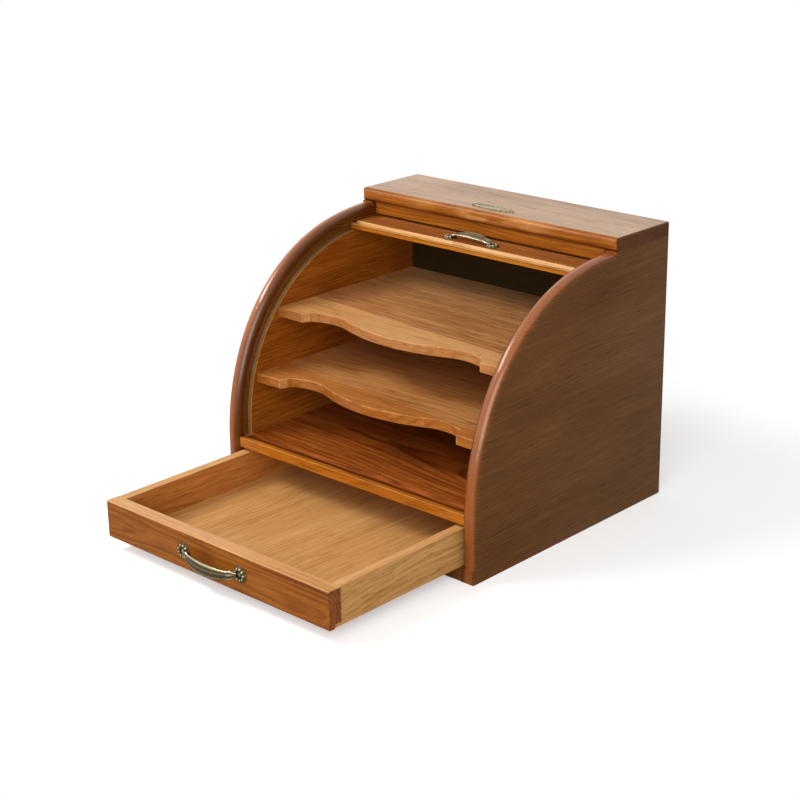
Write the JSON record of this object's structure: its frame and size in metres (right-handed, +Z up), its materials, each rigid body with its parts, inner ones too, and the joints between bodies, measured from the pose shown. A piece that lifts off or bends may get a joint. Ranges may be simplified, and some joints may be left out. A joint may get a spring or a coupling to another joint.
{
  "type": "roll-top storage box",
  "caption": "Table-top wooden box with a slatted roll-up front, shelves with curved fronts, a pull-out drawer, a top board and bow pulls.",
  "frame": {"origin": "centre of the underside of the case", "axes": "+Z up, +Y to the back, +X to the right as seen from the front; the drawer pulls out along -Y"},
  "size_m": [0.33, 0.467, 0.2844],
  "materials": {
    "case_wood": "satin lacquer",
    "shelf_wood": "satin lacquer",
    "curtain_wood": "satin lacquer",
    "drawer_box_wood": "satin lacquer",
    "plywood": "plain",
    "back_board": "stained",
    "canvas": "woven",
    "antique_brass": "antique",
    "screw_steel": "plain"
  },
  "bodies": {
    "case": {"back_panel": "back_board", "back_screws": "screw_steel", "base_board": "shelf_wood", "canvas_tail": "canvas", "divider_board": "shelf_wood", "inner_back": "back_board", "left_side_panel": "case_wood", "lower_shelf": "shelf_wood", "name_plate": "antique_brass", "name_plate_pins": "antique_brass", "right_side_panel": "case_wood", "slat_06": "curtain_wood", "slat_07": "curtain_wood", "slat_08": "curtain_wood", "slat_09": "curtain_wood", "slat_10": "curtain_wood", "slat_11": "curtain_wood", "slat_12": "curtain_wood", "slat_13": "curtain_wood", "slat_14": "curtain_wood", "slat_15": "curtain_wood", "slat_16": "curtain_wood", "slat_17": "curtain_wood", "slat_18": "curtain_wood", "slat_19": "curtain_wood", "slat_20": "curtain_wood", "slat_21": "curtain_wood", "slat_22": "curtain_wood", "slat_23": "curtain_wood", "slat_24": "curtain_wood", "slat_25": "curtain_wood", "slat_26": "curtain_wood", "slat_27": "curtain_wood", "slat_28": "curtain_wood", "slat_29": "curtain_wood", "slat_30": "curtain_wood", "top_back_rail": "case_wood", "top_board": "case_wood", "top_dowels": "drawer_box_wood", "top_rail": "case_wood", "upper_shelf": "shelf_wood"},
    "drawer": {"drawer_front": "case_wood", "drawer_left_side": "drawer_box_wood", "drawer_right_side": "drawer_box_wood", "drawer_back": "drawer_box_wood", "drawer_bottom": "plywood", "drawer_pull": "antique_brass", "drawer_pull_screws": "antique_brass"},
    "curtain": {"lead_slat": "curtain_wood", "canvas_front": "canvas", "tambour_pull": "antique_brass", "tambour_pull_screws": "antique_brass", "slat_01": "curtain_wood", "slat_02": "curtain_wood", "slat_03": "curtain_wood", "slat_04": "curtain_wood", "slat_05": "curtain_wood"}
  },
  "joints": [
    {"name": "drawer_slide", "type": "slide", "parent": "case", "child": "drawer", "axis": [0, -1, 0], "range_m": [-0.1717, 0.0383]},
    {"name": "curtain_roll", "type": "hinge", "parent": "case", "child": "curtain", "pos_m": [0, 0.0491, 0.0734], "axis": [1, 0, 0], "range_deg": [0, 88.32]}
  ]
}
